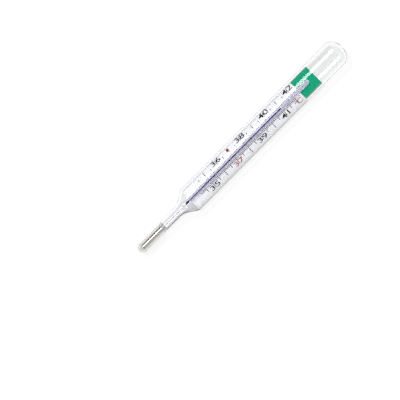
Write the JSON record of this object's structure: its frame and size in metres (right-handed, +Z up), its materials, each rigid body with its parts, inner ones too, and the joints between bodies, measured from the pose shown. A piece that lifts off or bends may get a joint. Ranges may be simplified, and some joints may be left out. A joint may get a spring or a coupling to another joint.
{
  "type": "clinical thermometer",
  "caption": "Enclosed-scale clinical thermometer: flattened glass sheath, round neck and metal-filled bulb, lens-front capillary over a white scale plate with a green band.",
  "frame": {"origin": "under the middle of the thermometer's length, on the surface that its flat back lies on", "axes": "+X along the thermometer from the bulb to the domed end, +Y across the scale, +Z up out of the readable face"},
  "size_m": [0.128, 0.0124, 0.0079],
  "materials": {
    "sheath_glass": "clear, fire-polished",
    "bulb_glass": "clear, fire-polished",
    "liquid_metal": "mirror-bright liquid metal",
    "capillary_glass": "clear drawn capillary",
    "strip_enamel": "fused tinted enamel",
    "thread_metal": "liquid metal seen through the lens",
    "plate_white": "smooth white with printed graduations",
    "band_green": "satin coloured sheet"
  },
  "bodies": {
    "thermometer": {"outer_sheath": "sheath_glass", "bulb_glass": "bulb_glass", "bulb_liquid": "liquid_metal", "stem_tube": "capillary_glass", "contraction_pin": "capillary_glass", "capillary_tube": "capillary_glass", "tinted_strip": "strip_enamel", "liquid_column": "thread_metal", "scale_plate": "plate_white", "green_band": "band_green"},
    "column_head": {"column_head": "thread_metal"}
  },
  "joints": [
    {"name": "reading_slide", "type": "slide", "parent": "thermometer", "child": "column_head", "axis": [1, 0, 0], "range_m": [-0.05175, 0.0075], "deforming": ["liquid_column"]}
  ]
}
